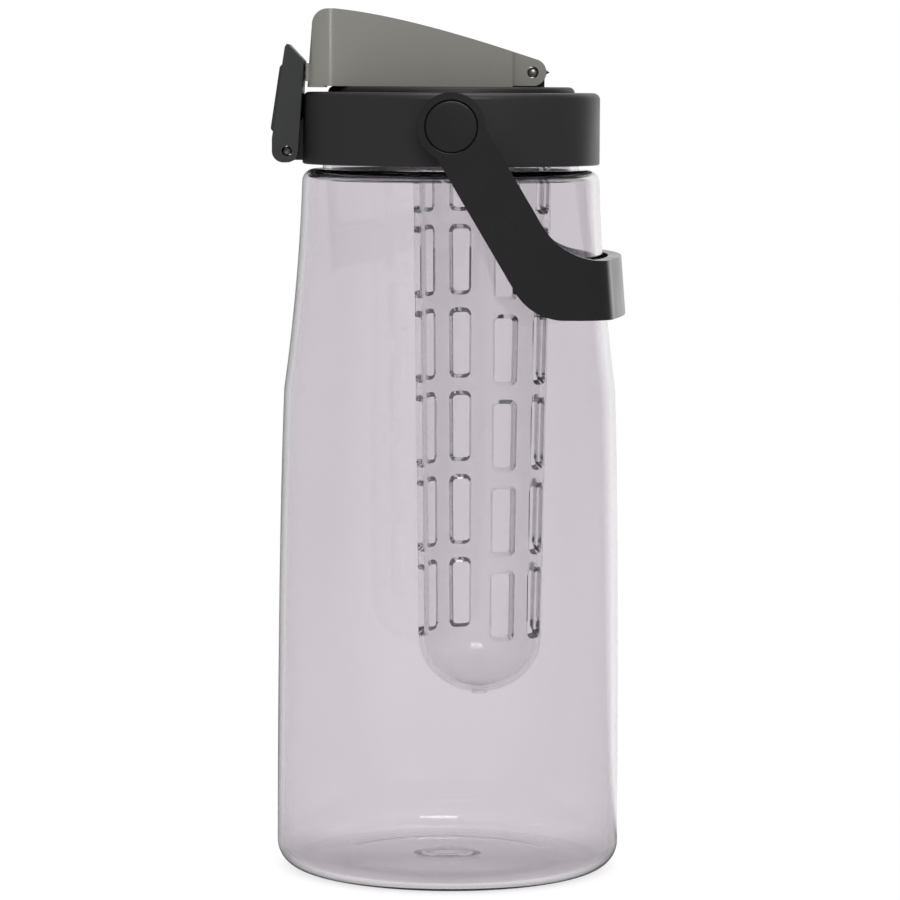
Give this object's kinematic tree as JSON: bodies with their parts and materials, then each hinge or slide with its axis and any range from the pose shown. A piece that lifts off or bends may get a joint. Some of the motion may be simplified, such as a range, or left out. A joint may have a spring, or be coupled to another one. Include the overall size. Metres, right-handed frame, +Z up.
{
  "type": "lidded infuser jug",
  "caption": "Tall clear plastic jug with a screw lid, a latched flip cap over a pouring spout, a swinging bail handle and a slotted infuser tube hung from the lid.",
  "frame": {"origin": "centre of the standing ring on the jug's axis, on the floor", "axes": "+Z up the jug's axis, -X towards the latch and the pouring side, -Y towards the camera of the picture"},
  "size_m": [0.1124, 0.109, 0.2727],
  "materials": {
    "clear_jug": "clear, glossy, faintly tinted",
    "clear_infuser": "clear, glossy",
    "dark_plastic": "satin, fine moulded grain",
    "insert_plastic": "satin",
    "latch_plastic": "satin",
    "handle_plastic": "satin",
    "cap_plastic": "satin warm grey",
    "silicone": "soft, translucent white",
    "steel": "ground"
  },
  "bodies": {
    "jug": {"bottle_body": "clear_jug"},
    "seal_ring": {"lid_gasket": "silicone"},
    "lid": {"lid_collar": "dark_plastic", "lid_insert": "insert_plastic", "cap_hinge_pin": "steel", "latch_hinge_pin": "steel", "handle_pivot_front": "handle_plastic", "handle_pivot_rear": "handle_plastic"},
    "flip_cap": {"flip_cap": "cap_plastic", "spout_plug": "silicone"},
    "latch": {"latch": "latch_plastic"},
    "handle": {"handle": "handle_plastic"},
    "infuser": {"infuser_tube": "clear_infuser"}
  },
  "joints": [
    {"name": "lid_lift", "type": "slide", "parent": "jug", "child": "seal_ring", "axis": [0, 0, 1], "range_m": [0, 0.0061]},
    {"name": "lid_turn", "type": "hinge", "parent": "seal_ring", "child": "lid", "pos_m": [0, 0, 0.24], "axis": [0, 0, 1], "range_deg": [0, 360]},
    {"name": "flip_cap_hinge", "type": "hinge", "parent": "lid", "child": "flip_cap", "pos_m": [0.0254, 0, 0.2532], "axis": [0, 1, 0], "range_deg": [0, 150]},
    {"name": "latch_hinge", "type": "hinge", "parent": "lid", "child": "latch", "pos_m": [-0.0516, 0, 0.2282], "axis": [0, -1, 0], "range_deg": [0, 75]},
    {"name": "handle_swing", "type": "hinge", "parent": "lid", "child": "handle", "pos_m": [0, 0, 0.23655], "axis": [0, -1, 0], "range_deg": [0, 255]},
    {"name": "infuser_turn", "type": "hinge", "parent": "lid", "child": "infuser", "pos_m": [0.01, 0, 0.2441], "axis": [0, 0, 1], "range_deg": [0, 60]}
  ],
  "couplings": [
    {"joint": "lid_lift", "follows": "lid_turn", "m_per_rad": 0.00095493}
  ]
}
